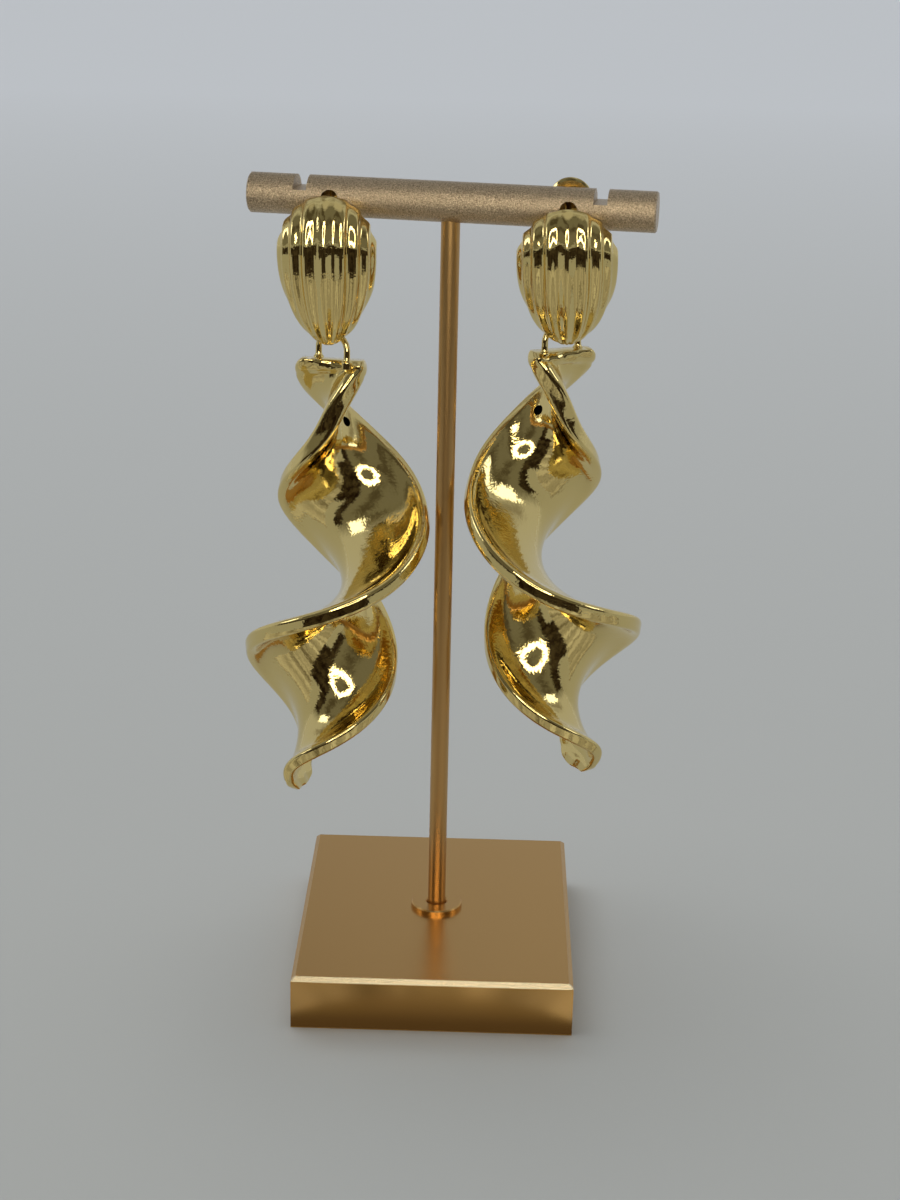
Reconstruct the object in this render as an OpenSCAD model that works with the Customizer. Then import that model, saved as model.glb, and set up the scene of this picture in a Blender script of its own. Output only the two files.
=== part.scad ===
// Pair of twisted drop earrings hanging on a small T-bar display stand.
// The origin is the middle of the base's underside, +Z is up and the front of the stand faces -Y.
// Each earring is a ribbed dome stud with an eye behind it.
// A twisted ribbon drop hangs in that eye by its bail.

/* [Stand] */
// Width of the base plate, left to right
base_width = 43.2; // [38:0.2:60]
// Depth of the base plate, front to back
base_depth = 50.2; // [40:0.2:60]
// Thickness of the base plate
base_thickness = 8.6; // [7:0.2:12]
// Width of the bevel round the top edge of the base
base_bevel = 0.7; // [0.3:0.1:1.5]
// Diameter of the upright post
post_diameter = 2.8; // [2.4:0.1:3]
// Diameter of the collar that the post stands in
collar_diameter = 8.2; // [7:0.2:12]
// Thickness of the collar
collar_thickness = 0.8; // [0.7:0.1:3]

/* [Bar] */
// Length of the cross bar
bar_length = 60; // [56:1:80]
// Diameter of the cross bar
bar_diameter = 5.9; // [5.6:0.1:6.4]
// Height of the bar's axis above the underside of the base
bar_height = 122.8; // [118:0.2:140]
// How far the bar is turned on its post, with its right end toward the front
bar_turn = 9.2; // [0:0.2:12]
// Bevel at the rims of the bar's ends
bar_edge = 0.2; // [0.1:0.1:0.5]
// Distance from the post to each ear post hole
hole_offset = 17.5; // [17.5:0.1:20]
// Diameter of the ear post holes
hole_diameter = 2.6; // [2.6:0.1:3]
// Distance from the post to each hook slot
slot_offset = 22; // [22:0.5:25]
// Width of the hook slots
slot_width = 2; // [1.5:0.1:2.5]
// Depth of the hook slots
slot_depth = 1.9; // [1:0.1:2.5]

/* [Stud] */
// Length of the ribbed dome, top to tip
stud_length = 23.1; // [22:0.1:24]
// Greatest width of the dome
stud_width = 14.9; // [12:0.1:16]
// How far the dome bulges out from its back
stud_bulge = 5.8; // [4:0.1:8]
// Height of the dome's top above its ear post
stud_rise = 1.4; // [1:0.1:2]
// Share of the length at which the dome is widest
stud_widest = 0.37; // [0.3:0.01:0.45]
// Shape of the lower part, where 1 is a half ellipse and more is more pointed
stud_taper = 1.27; // [1:0.01:1.5]
// Depth of the grooves beside the middle rib
rib_depth = 0.7; // [0.2:0.05:0.8]
// Angle between the dome's back and a square to its ear post
stud_lean = 8.4; // [8:0.1:10]
// Length of the ear post behind the dome
ear_post_length = 11; // [10:0.5:12]
// Diameter of the ear post
ear_post_diameter = 0.8; // [0.7:0.05:0.8]

/* [Earring back] */
// Diameter of the disc
disc_diameter = 6.2; // [4:0.1:7]
// Thickness of the disc
disc_thickness = 0.9; // [0.7:0.1:1.5]
// Diameter of the grip behind the disc
grip_diameter = 2.4; // [1.8:0.1:3]
// Length of the grip behind the disc
grip_length = 1.8; // [1:0.1:2.5]

/* [Drop] */
// Share of the thickness that the dished faces lose in the middle
dish = 0.6; // [0:0.05:0.65]
// Thickness of the bail's wire
bail_wire = 0.95; // [0.8:0.05:1]
// Distance between the bail's two legs, to the middle of their wire
bail_width = 6.4; // [6:0.1:6.6]
// Height of the bail's crown above the drop's top edge, to the middle of its wire
bail_height = 3.6; // [3.4:0.1:4]

// Diameter of the drain hole
drain_diameter = 1.6; // [1:0.1:2]

/* [How the earrings hang] */
// Tilt of the left ear post in its hole
left_tilt = 0.2; // [0:0.1:1]
// Tilt of the right ear post, which lies across its hole
right_tilt = 14; // [12:0.1:14]
// Turn of the right ear post in its hole, away from square to the bar
right_post_turn = 4; // [2:0.5:4]
// Turn of both domes about the upright, away from square to the bar
dome_turn = 7; // [5:0.5:8]
// Lean of the left drop, with its tip toward the front
left_lean = 3.2; // [1:0.1:5]
// Sideways lean of the left drop, with its tip toward the left
left_sway = 0.9; // [0:0.1:1]
// Lean of the right drop, with its tip toward the front
right_lean = -1.3; // [-3:0.1:1]
// Turn of the left drop about the upright
left_turn = 0.5; // [-2:0.5:2]
// Turn of the right drop about the upright
right_turn = 17.5; // [16:0.5:19]
// Turn of the left drop's bail, away from the drop's width
left_bail_turn = 44; // [40:1:46]
// Turn of the right drop's bail, away from the drop's width
right_bail_turn = 20; // [16:1:22]

/* [Hidden] */
$fn = 48;
// Clearance round a pin in its hole
slip = 0.03;
bar_radius = bar_diameter / 2;
// Depth of the post in the base and in the bar
post_socket = 5;
bar_socket = 2.5;
// Distance from the bar's axis to the root of each ear post and to each earring back
stud_seat = bar_radius + 0.7;
disc_seat = bar_radius + 0.3;
// Sideways and upward place of each ear post in its hole
left_in_hole = [-0.2, -0.75];
right_in_hole = [-0.25, 0];
// Place of each bail's crown against the bar's axis: along the bar, behind it and below it
left_crown = [-17.9, 1.6, -21.1];
right_crown = [16.1, 6.45, -18.7];

// The drop's ribbon as control rows of a smooth curve, one row every row_step down its axis.
// turn: where rim A points, in degrees from the right toward the front
// reach_a, reach_b: distance of each rim from the axis
// aside: how far the ribbon runs beside its axis
// cup: how far its middle is pressed out of that plane, which leaves the rims where they are
// half: half thickness of the rims
row_step = 5.45;
drop_rows = [
    // turn, reach_a, reach_b, aside, cup, half
    [13, 5.2, 6, 0, 0, 1.6],
    [68, 3.6, 7, 0, 0, 1.6],
    [124, 3.5, 7.8, 0.1, 0, 1.5],
    [171, 6.7, 12.4, -0.7, -0.3, 1.3],
    [200, 10, 16, -1.7, -1.4, 1.2],
    [226, 10, 18, -1.9, 0.3, 1.2],
    [258, 8.7, 19.7, -1.8, -0.2, 1.2],
    [309, 8.4, 17.2, -2.2, -2, 1.2],
    [343, 10.3, 13.6, -3.1, -2.9, 1.2],
    [376, 12.2, 9.6, -3.5, -3.6, 1.1],
    [415, 13.9, 5.8, -3.9, -1.7, 1],
    [459, 13.8, 1.2, -3.7, 0, 0.9],
    [467, 10.5, -4.3, -1, 0, 0.7],
];
last = len(drop_rows) - 1;
// The top edge is cut square a little above the first row
top_cut = 1;
tip_depth = last * row_step;

// Smooth curve through the rows, which runs on straight past both ends
function weights(t) =
    [pow(1 - t, 3), 3 * pow(t, 3) - 6 * t * t + 4,
     -3 * pow(t, 3) + 3 * t * t + 3 * t + 1, pow(t, 3)] / 6;
function row(i) =
    i < 0 ? drop_rows[0] + i * (drop_rows[1] - drop_rows[0]) :
    i > last ? drop_rows[last] + (i - last) * (drop_rows[last] - drop_rows[last - 1]) :
    drop_rows[i];
function section(depth) =
    let (u = depth / row_step, i = floor(u), w = weights(u - i))
    w[0] * row(i - 1) + w[1] * row(i) + w[2] * row(i + 1) + w[3] * row(i + 2);

// Point of the ribbon's middle surface, for a depth and a place from rim A, 0, to rim B, 1
function along(turn) = [cos(turn), -sin(turn), 0];
function beside(turn) = [sin(turn), cos(turn), 0];
function middle(depth, place) =
    let (s = section(depth), pressed = s[4] * 16 * pow(place * (1 - place), 2))
    beside(s[0]) * (s[3] + pressed) + along(s[0]) * (s[1] - place * (s[1] + s[2])) - [0, 0, depth];
// Square to that surface, easing to level at the two cut ends
function ease(x) = let (c = max(0, min(x, 1))) c * c * (3 - 2 * c);
function outward(depth, place) =
    let (turn = section(depth)[0], from_end = min(depth + top_cut, tip_depth - depth), step = 0.1,
         across = middle(depth, place - 0.001) - middle(depth, place + 0.001),
         down = middle(depth + step, place) - middle(depth - step, place),
         square = cross(across, down),
         free = ease(from_end / 2), mix = square / norm(square) * free + beside(turn) * (1 - free))
    mix / norm(mix);

// Half section of a rim: distance in from its edge and height, both in half thicknesses
rim = [[0, 0.55], [0.15, 0.88], [0.45, 1], [1.1, 1]];
// Places across the dish between the rims
dish_places = [0.14, 0.36, 0.64, 0.86];
// How far along the ribbon its corners round off and its faces round over at the cut ends
corner = 1.5;
end_rounding = 0.5;
function ring_points(depth) =
    let (s = section(depth), width = s[1] + s[2], from_end = min(depth + top_cut, tip_depth - depth),
         near = max(0, 1 - from_end / corner), inset = 0.9 * near * near,
         lip = max(0, 1 - from_end / end_rounding), half = s[5] - 0.45 * end_rounding * lip * lip,
         sunk = dish * ease((from_end - 1.4) / 1.6), start = inset / width, rim_share = s[5] / width,
         dish_start = rim[len(rim) - 1][0] * rim_share,
         profile = concat(
             [for (p = rim) [start + p[0] * rim_share, p[1]]],
             [for (x = dish_places)
                 [start + dish_start + x * (1 - 2 * start - 2 * dish_start), 1 - sunk * 4 * x * (1 - x)]],
             [for (i = [len(rim) - 1:-1:0]) [1 - start - rim[i][0] * rim_share, rim[i][1]]]),
         count = len(profile))
    [for (i = [0:2 * count - 1])
        let (face = i < count ? 1 : -1, p = profile[i < count ? i : 2 * count - 1 - i])
        middle(depth, p[0]) + outward(depth, p[0]) * face * half * p[1]];
// Depths of the rings, close together at the ends
end_steps = [0, 0.15, 0.5, 1, 1.7, 2.7];
body_steps = 50;
ring_depths = concat(
    [for (x = end_steps) x - top_cut],
    [for (i = [1:body_steps - 1])
        let (inner = end_steps[len(end_steps) - 1])
        inner - top_cut + i * (tip_depth + top_cut - 2 * inner) / body_steps],
    [for (i = [len(end_steps) - 1:-1:0]) tip_depth - end_steps[i]]);

// Closed skin over equal rings, with the two cut ends closed from face to face
module skin(rings) {
    n = len(rings[0]);
    far = (len(rings) - 1) * n;
    sides = [for (r = [0:len(rings) - 2], i = [0:n - 1])
        let (a = r * n + i, b = r * n + (i + 1) % n)
        each [[a, b, b + n], [a, b + n, a + n]]];
    ends = [for (i = [0:n / 2 - 2])
        each [[i, n - 1 - i, i + 1], [i + 1, n - 1 - i, n - 2 - i],
              [far + i, far + i + 1, far + n - 1 - i], [far + i + 1, far + n - 2 - i, far + n - 1 - i]]];
    polyhedron(points = [for (r = rings) each r], faces = concat(sides, ends), convexity = 6);
}

// Staple of round wire, with its crown along X at the origin and two legs down into the drop's top edge
bail_bend = 2.1;
bail_foot = 1;
module bail() {
    flat = bail_width / 2 - bail_bend;
    rotate([0, 90, 0]) cylinder(d = bail_wire, h = 2 * flat, center = true, $fn = 24);
    for (side = [0, 1])
        mirror([side, 0, 0]) {
            translate([flat, 0, -bail_bend])
                rotate([90, 0, 0])
                    rotate_extrude(angle = 90)
                        translate([bail_bend, 0])
                            circle(d = bail_wire, $fn = 24);
            translate([bail_width / 2, 0, -bail_height - bail_foot])
                cylinder(d = bail_wire, h = bail_height + bail_foot - bail_bend, $fn = 24);
        }
}

// Drain hole in the face beside the drop's neck: its mouth, the way out of the metal, and its depth
drain_mouth = [2.2, 3.4, -13.8];
drain_way = [0.7, -0.5, 0.5];
drain_depth = 0.9;
module drain() {
    translate(drain_mouth)
        rotate([0, acos(drain_way[2] / norm(drain_way)), atan2(drain_way[1], drain_way[0])])
            translate([0, 0, -drain_depth])
                cylinder(d = drain_diameter, h = drain_depth + 1, $fn = 24);
}

// Twisted ribbon with its bail soldered into the top edge, and the bail's crown at the origin
module drop(bail_turn) {
    top = section(-top_cut);
    color("gold") {
        difference() {
            translate([0, 0, -bail_height - top_cut] - along(top[0]) * (top[1] - top[2]) / 2)
                skin([for (d = ring_depths) ring_points(d)]);
            drain();
        }
        rotate([0, 0, -bail_turn]) bail();
    }
}

// Width of the dome as a share of its greatest width, from the top, 0, to the tip, 1
function egg(t) =
    t < stud_widest ? sqrt(1 - pow((stud_widest - t) / stud_widest, 2)) :
    pow(1 - pow((t - stud_widest) / (1 - stud_widest), 2), stud_taper / 2);
// Ribs counted from the middle one, 0, so that a groove lies at each half, and the angle where each groove lies
grooves = [[0, 0], [0.5, 12], [1.5, 31], [2.5, 49], [3.5, 67], [4.5, 90]];
// Half the number of ribs across the dome
half_ribs = grooves[len(grooves) - 1][0];
// The ribs and the grooves between them are waves of one width, shallower toward both sides
function dome_point(t, rib) =
    let (w = egg(t), angle = sign(rib) * lookup(abs(rib), grooves),
         deep = rib_depth * (0.45 + 0.55 * pow(cos(angle), 2)),
         r = w - deep * (1 - cos(360 * rib)) * w / stud_width)
    [stud_width / 2 * r * sin(angle), -stud_bulge * r * cos(angle), stud_rise - stud_length * t];
rib_steps = 6;
dome_steps = 22;
// Rings crowd toward the top and the tip, where the outline turns fast
function dome_share(i) = (1 - cos(180 * i / dome_steps)) / 2;

module dome() {
    n = 2 * half_ribs * rib_steps + 1;
    rings = dome_steps - 1;
    top = rings * n;
    low = (rings - 1) * n;
    points = concat(
        [for (i = [1:rings], k = [0:n - 1]) dome_point(dome_share(i), k / rib_steps - half_ribs)],
        [[0, 0, stud_rise], [0, 0, stud_rise - stud_length]]);
    sides = [for (r = [0:rings - 2], k = [0:n - 1])
        let (a = r * n + k, b = r * n + (k + 1) % n)
        each [[a, b, b + n], [a, b + n, a + n]]];
    ends = [for (k = [0:n - 1]) each [[top, (k + 1) % n, k], [top + 1, low + k, low + (k + 1) % n]]];
    polyhedron(points = points, faces = concat(sides, ends), convexity = 4);
}

// Eye behind the dome's tip: a wire ring soldered to the dome's back
eye_wire = 0.8;
eye_radius = 2.05;
eye_turn = 12;
eye_back = 2.2;

// Dome, ear post and eye in one piece, with the ear post's root at the origin and the post toward +Y
module stud(eye_place, side, turn) {
    // Length of the ear post inside the dome
    root = 1;
    color("gold") {
        rotate([stud_lean, 0, turn]) {
            dome();
            translate([eye_place[0], eye_back, eye_place[1]])
                rotate([90, 0, 90 + side * eye_turn])
                    rotate_extrude()
                        translate([eye_radius, 0])
                            circle(d = eye_wire, $fn = 24);
        }
        translate([0, -root, 0])
            rotate([-90, 0, 0])
                cylinder(d = ear_post_diameter, h = ear_post_length + root, $fn = 24);
    }
}

// Earring back: a disc and a grip with a bore for the ear post
module clutch() {
    bore = ear_post_diameter / 2 + slip;
    rim_edge = 0.25;
    disc = disc_diameter / 2;
    grip = grip_diameter / 2;
    back = disc_thickness + grip_length;
    color("gold")
        rotate([-90, 0, 0])
            rotate_extrude()
                polygon([[bore, 0], [disc - rim_edge, 0], [disc, rim_edge],
                         [disc, disc_thickness - rim_edge], [disc - rim_edge, disc_thickness],
                         [grip, disc_thickness], [grip, back - rim_edge], [grip - rim_edge, back],
                         [bore, back]]);
}

// Frame of the bar: X along the bar, Y behind it, origin at its middle
module on_bar() {
    translate([0, 0, bar_height]) rotate([0, 0, -bar_turn]) children();
}

// Frame of an ear post, with its origin on the bar's axis
module in_hole(side, place, tilt, turn) {
    on_bar()
        translate([side * hole_offset + place[0], 0, place[1]])
            rotate([tilt, 0, 0])
                rotate([0, 0, turn])
                    children();
}

// Frame of a hanging drop, with its origin at the bail's crown
module hung(crown, lean, sway) {
    right = crown[0] * cos(bar_turn) + crown[1] * sin(bar_turn);
    back = crown[1] * cos(bar_turn) - crown[0] * sin(bar_turn);
    translate([right, back, bar_height + crown[2]])
        rotate([-lean, sway, 0])
            children();
}

module stand_base() {
    // Side of the square rod that cuts a bevel when it is turned by 45 degrees
    cut = base_bevel * sqrt(2);
    color("goldenrod")
        difference() {
            translate([-base_width / 2, -base_depth / 2, 0])
                cube([base_width, base_depth, base_thickness]);
            for (side = [-1, 1]) {
                translate([side * base_width / 2, 0, base_thickness])
                    rotate([0, 45, 0])
                        cube([cut, base_depth + 2, cut], center = true);
                translate([0, side * base_depth / 2, base_thickness])
                    rotate([45, 0, 0])
                        cube([base_width + 2, cut, cut], center = true);
            }
            translate([0, 0, base_thickness - post_socket])
                cylinder(d = post_diameter + 2 * slip, h = post_socket + 1);
        }
}

module stand_collar() {
    mouth = 0.4;
    edge = 0.2;
    inner = post_diameter / 2 + slip;
    outer = collar_diameter / 2;
    color("goldenrod")
        translate([0, 0, base_thickness])
            rotate_extrude()
                polygon([[inner, 0], [outer, 0], [outer, collar_thickness - edge],
                         [outer - edge, collar_thickness], [inner + mouth, collar_thickness],
                         [inner, collar_thickness - mouth]]);
}

module stand_post() {
    foot = base_thickness - post_socket;
    top = bar_height - bar_radius + bar_socket;
    color("darkgoldenrod")
        translate([0, 0, foot])
            cylinder(d = post_diameter, h = top - foot);
}

module stand_bar() {
    half = bar_length / 2;
    color("tan")
        on_bar()
            difference() {
                rotate([0, 90, 0])
                    rotate_extrude()
                        polygon([[0, -half], [bar_radius - bar_edge, -half],
                                 [bar_radius, -half + bar_edge], [bar_radius, half - bar_edge],
                                 [bar_radius - bar_edge, half], [0, half]]);
                translate([0, 0, -bar_radius - 1])
                    cylinder(d = post_diameter + 2 * slip, h = bar_socket + 1);
                for (side = [-1, 1]) {
                    translate([side * hole_offset, 0, 0])
                        rotate([90, 0, 0])
                            cylinder(d = hole_diameter, h = bar_diameter + 2, center = true);
                    translate([side * slot_offset - slot_width / 2,
                               -bar_radius - 1, bar_radius - slot_depth])
                        cube([slot_width, bar_diameter + 2, slot_depth + 1]);
                }
            }
}

module left_stud() {
    in_hole(-1, left_in_hole, left_tilt, 0)
        translate([0, -stud_seat, 0])
            stud([0.4, -19.95], -1, dome_turn);
}

module right_stud() {
    in_hole(1, right_in_hole, right_tilt, right_post_turn)
        translate([0, -stud_seat, 0])
            stud([-0.6, -19.4], 1, dome_turn - right_post_turn);
}

module left_clutch() {
    in_hole(-1, left_in_hole, left_tilt, 0) translate([0, disc_seat, 0]) clutch();
}

module right_clutch() {
    in_hole(1, right_in_hole, right_tilt, right_post_turn) translate([0, disc_seat, 0]) clutch();
}

module left_drop() {
    hung(left_crown, left_lean, left_sway) rotate([0, 0, -left_turn]) drop(left_bail_turn);
}

module right_drop() {
    hung(right_crown, right_lean, 0) mirror([1, 0, 0]) rotate([0, 0, -right_turn]) drop(right_bail_turn);
}

stand_base();
stand_collar();
stand_post();
stand_bar();
left_stud();
left_clutch();
left_drop();
right_stud();
right_clutch();
right_drop();
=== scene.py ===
import math

import bmesh
import bpy
import numpy as np
from mathutils import Matrix, Vector


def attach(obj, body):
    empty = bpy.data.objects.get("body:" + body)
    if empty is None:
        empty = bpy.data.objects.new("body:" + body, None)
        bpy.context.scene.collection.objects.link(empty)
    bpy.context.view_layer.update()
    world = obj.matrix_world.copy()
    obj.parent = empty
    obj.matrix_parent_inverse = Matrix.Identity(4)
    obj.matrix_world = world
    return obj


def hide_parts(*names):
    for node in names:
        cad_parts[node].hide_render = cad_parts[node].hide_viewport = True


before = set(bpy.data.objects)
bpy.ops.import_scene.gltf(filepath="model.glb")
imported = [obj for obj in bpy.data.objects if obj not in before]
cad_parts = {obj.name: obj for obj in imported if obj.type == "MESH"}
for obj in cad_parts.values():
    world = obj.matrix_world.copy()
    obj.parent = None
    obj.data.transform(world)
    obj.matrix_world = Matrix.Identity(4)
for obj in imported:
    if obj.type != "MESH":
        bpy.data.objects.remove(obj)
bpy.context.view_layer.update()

MM = 0.001

# Places and turns of the earrings, the same values as in the part's source, in mm and degrees
BAR_HEIGHT = 122.8
BAR_TURN = 9.2
HOLE_OFFSET = 17.5
STUD_SEAT = 3.65
STUD_LEAN = 8.4
DOME_TURN = 7
STUDS = {
    "left": {"side": -1, "place": (-0.2, -0.75), "tilt": 0.2, "turn": 0, "eye": (0.4, -19.95)},
    "right": {"side": 1, "place": (-0.25, 0), "tilt": 14, "turn": 4, "eye": (-0.6, -19.4)},
}
DROPS = {
    "left": {"crown": (-17.9, 1.6, -21.1), "lean": 3.2, "sway": 0.9, "turn": 0.5, "bail_turn": 44},
    "right": {"crown": (16.1, 6.45, -18.7), "lean": -1.3, "sway": 0, "turn": 17.5, "bail_turn": 20},
}
# Faces that meet at more than this angle show an edge
SHARP_ANGLE = 40


def turned(angle, axis):
    return Matrix.Rotation(math.radians(angle), 4, axis)


def moved(x, y, z):
    return Matrix.Translation((x, y, z))


def on_bar():
    """The middle of the bar, turned as the bar is on its post."""
    return moved(0, 0, BAR_HEIGHT) @ turned(-BAR_TURN, "Z")


def ease(x):
    """From 0 to 1, with a soft start and end."""
    share = np.clip(x, 0, 1)
    return share * share * (3 - 2 * share)


def mesh_piece(name, points, faces, place):
    """A smooth mesh object from points in mm, put in its place in the row frame."""
    mesh = bpy.data.meshes.new(name)
    mesh.from_pydata([(place @ Vector(p)) * MM for p in points], [], faces)
    made = bmesh.new()
    made.from_mesh(mesh)
    bmesh.ops.recalc_face_normals(made, faces=made.faces)
    made.to_mesh(mesh)
    made.free()
    mesh.shade_smooth()
    mesh.set_sharp_from_angle(angle=math.radians(SHARP_ANGLE))
    piece = bpy.data.objects.new(name, mesh)
    bpy.context.scene.collection.objects.link(piece)
    return piece


def band(low, high, count):
    """Faces between two closed rings of points, whose first points have the numbers low and high."""
    return [(low + i, low + (i + 1) % count, high + (i + 1) % count, high + i) for i in range(count)]


def tube(path, radii, sides=20):
    """Points and faces of a round wire along a path, with closed ends."""
    path = [Vector(p) for p in path]
    last = len(path) - 1
    points = []
    faces = []
    normal = None
    for k, p in enumerate(path):
        ahead = (path[min(k + 1, last)] - path[max(k - 1, 0)]).normalized()
        if normal is None:
            normal = ahead.orthogonal().normalized()
        normal = (normal - ahead * normal.dot(ahead)).normalized()
        other = ahead.cross(normal)
        for s in range(sides):
            angle = 2 * math.pi * s / sides
            points.append(p + (normal * math.cos(angle) + other * math.sin(angle)) * radii[k])
    for k in range(last):
        faces += band(k * sides, (k + 1) * sides, sides)
    faces.append(tuple(range(sides)))
    faces.append(tuple(last * sides + s for s in range(sides)))
    return points, faces


def joined(parts):
    """Points and faces of several parts, as one."""
    points = []
    faces = []
    for part_points, part_faces in parts:
        start = len(points)
        points += [Vector(p) for p in part_points]
        faces += [tuple(i + start for i in f) for f in part_faces]
    return points, faces


# Ribbon of the drop, as rows of a smooth curve: turn of rim A, reach of rims A and B, offset beside the axis,
# how far the middle is pressed out of that plane, and half thickness, in degrees and mm
ROW_STEP = 5.45
DROP_ROWS = np.array([
    [13, 5.2, 6, 0, 0, 1.6],
    [68, 3.6, 7, 0, 0, 1.6],
    [124, 3.5, 7.8, 0.1, 0, 1.5],
    [171, 6.7, 12.4, -0.7, -0.3, 1.3],
    [200, 10, 16, -1.7, -1.4, 1.2],
    [226, 10, 18, -1.9, 0.3, 1.2],
    [258, 8.7, 19.7, -1.8, -0.2, 1.2],
    [309, 8.4, 17.2, -2.2, -2, 1.2],
    [343, 10.3, 13.6, -3.1, -2.9, 1.2],
    [376, 12.2, 9.6, -3.5, -3.6, 1.1],
    [415, 13.9, 5.8, -3.9, -1.7, 1],
    [459, 13.8, 1.2, -3.7, 0, 0.9],
    [467, 10.5, -4.3, -1, 0, 0.7],
])
LAST = len(DROP_ROWS) - 1
# The ribbon starts this far above its first row, and ends at its last
TOP_CUT = 1
TIP_DEPTH = LAST * ROW_STEP
# Half section of a rim: distance in from its edge and height, both in half thicknesses
RIM = np.array([
    [0, 0.2], [0, 0.42], [0.015, 0.55], [0.06, 0.7], [0.14, 0.83],
    [0.26, 0.93], [0.4, 0.98], [0.58, 1], [0.8, 1], [0.95, 0.985],
])
# The rims lie this far inside the ribbon's reach, so that the smooth drop stays within the faceted one
RIM_INSET = 0.04
# Width of the hollow fillet inside each rim, and the share of the thickness that the faces lose beyond it
FILLET = 1.5
SUNK = 0.62
# Points across each face between the rims
ACROSS = 44
# How far along the ribbon its corners round off at the two cut ends, and how far they draw in
CORNER_LENGTH = 1.5
CORNER_INSET = 0.9
# Round-nosed strip along each cut end: its length, the share of thickness at its edges, and its rounding
STRIP_LENGTH = 1.8
STRIP_EDGE = 0.62
STRIP_FALL = 0.9
STRIP_POWER = 2.4
# Where the strip passes into the sunk faces, and how soon the thickness and the sinking follow
FACE_START = 1.5
THICK_LENGTH = 0.8
SINK_LENGTH = 0.7
# Soft dents that hand polishing leaves along the strip
DENT_HEIGHT = 0.09
DENT_SPACING = 3.1
DENT_END = 1.2
DENT_FADE = 0.6
# Distance over which the ribbon's faces turn level toward a cut end
LEVEL_LENGTH = 2
# How far the rings near a cut end lie from it, and the number of steps in the stretch between
END_RINGS = [0, 0.04, 0.1, 0.18, 0.28, 0.4, 0.5, 0.65, 0.85, 1.1, 1.4, 1.75, 2.2, 2.7]
BODY_STEPS = 260


def section(depth):
    """The row's six values at any depth, on a cubic curve that runs on straight past both ends."""
    u = depth / ROW_STEP
    i = math.floor(u)
    t = u - i
    w = np.array([(1 - t) ** 3, 3 * t ** 3 - 6 * t * t + 4, -3 * t ** 3 + 3 * t * t + 3 * t + 1, t ** 3]) / 6

    def row(k):
        if k < 0:
            return DROP_ROWS[0] + k * (DROP_ROWS[1] - DROP_ROWS[0])
        if k > LAST:
            return DROP_ROWS[LAST] + (k - LAST) * (DROP_ROWS[LAST] - DROP_ROWS[LAST - 1])
        return DROP_ROWS[k]

    return sum(w[j] * row(i - 1 + j) for j in range(4))


def along(turn):
    return np.array([math.cos(math.radians(turn)), -math.sin(math.radians(turn)), 0])


def beside(turn):
    return np.array([math.sin(math.radians(turn)), math.cos(math.radians(turn)), 0])


def middle(depth, places):
    """Points of the ribbon's middle surface at one depth, for places from rim A, 0, to rim B, 1."""
    turn, reach_a, reach_b, aside, cup = section(depth)[:5]
    run = reach_a - places * (reach_a + reach_b)
    # 16 makes the hump 1 in the middle, and it is 0 at both rims
    off = aside + cup * 16 * (places * (1 - places)) ** 2
    return off[:, None] * beside(turn) + run[:, None] * along(turn) - np.array([0, 0, depth])


def outward(depth, places, turn, from_end):
    """Directions square to the middle surface, easing to level at the two cut ends."""
    down_step = 0.05
    place_step = 0.001
    down = middle(depth + down_step, places) - middle(depth - down_step, places)
    across = middle(depth, places - place_step) - middle(depth, places + place_step)
    square = np.cross(across, down)
    square /= np.linalg.norm(square, axis=1)[:, None]
    free = ease(from_end / LEVEL_LENGTH)
    out = square * free + beside(turn)[None, :] * (1 - free)
    return out / np.linalg.norm(out, axis=1)[:, None]


def ring_points(depth):
    """One closed ring of the ribbon's skin: rim A, the upper face, rim B and the lower face."""
    values = section(depth)
    turn, reach_a, reach_b = values[:3]
    half = values[-1]
    width = reach_a + reach_b
    from_end = min(depth + TOP_CUT, TIP_DEPTH - depth)
    near = max(0, 1 - from_end / CORNER_LENGTH)
    start = (RIM_INSET + CORNER_INSET * near * near) / width
    # The faces stay thick in the strip along a cut end, and sink in beyond it
    nose = abs(min(from_end, STRIP_LENGTH) - STRIP_LENGTH / 2) / (STRIP_LENGTH / 2)
    roundness = math.sqrt(max(0, 1 - STRIP_FALL * nose ** STRIP_POWER))
    thick = half * (STRIP_EDGE + (1 - STRIP_EDGE) * roundness)
    thick += (half - thick) * ease((from_end - FACE_START) / THICK_LENGTH)
    sunk = SUNK * ease((from_end - FACE_START) / SINK_LENGTH)
    rim_share = half / width
    inner = start + RIM[-1][0] * rim_share
    spread = (1 - np.cos(np.linspace(0, math.pi, ACROSS + 2)[1:-1])) / 2
    face_places = inner + spread * (1 - 2 * inner)
    # They fall away from each rim in a fillet, and are nearly flat between the fillets
    from_rim = np.minimum(face_places - inner, 1 - inner - face_places) * width
    face_heights = RIM[-1][1] - sunk * (1 - np.exp(-(from_rim / FILLET) ** 1.5))
    rim_places = start + RIM[:, 0] * rim_share
    places = np.concatenate([rim_places, face_places, 1 - rim_places[::-1]])
    heights = np.concatenate([RIM[:, 1], face_heights, RIM[::-1, 1]])
    strip = 1 - ease((from_end - DENT_END) / DENT_FADE)
    wave = np.sin(2 * math.pi * places * width / DENT_SPACING)
    dents = DENT_HEIGHT * strip * wave * np.minimum(1, heights ** 4)
    base = middle(depth, places)
    lift = outward(depth, places, turn, from_end) * (thick * heights + dents)[:, None]
    return np.concatenate([base + lift, (base - lift)[::-1]])


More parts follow.
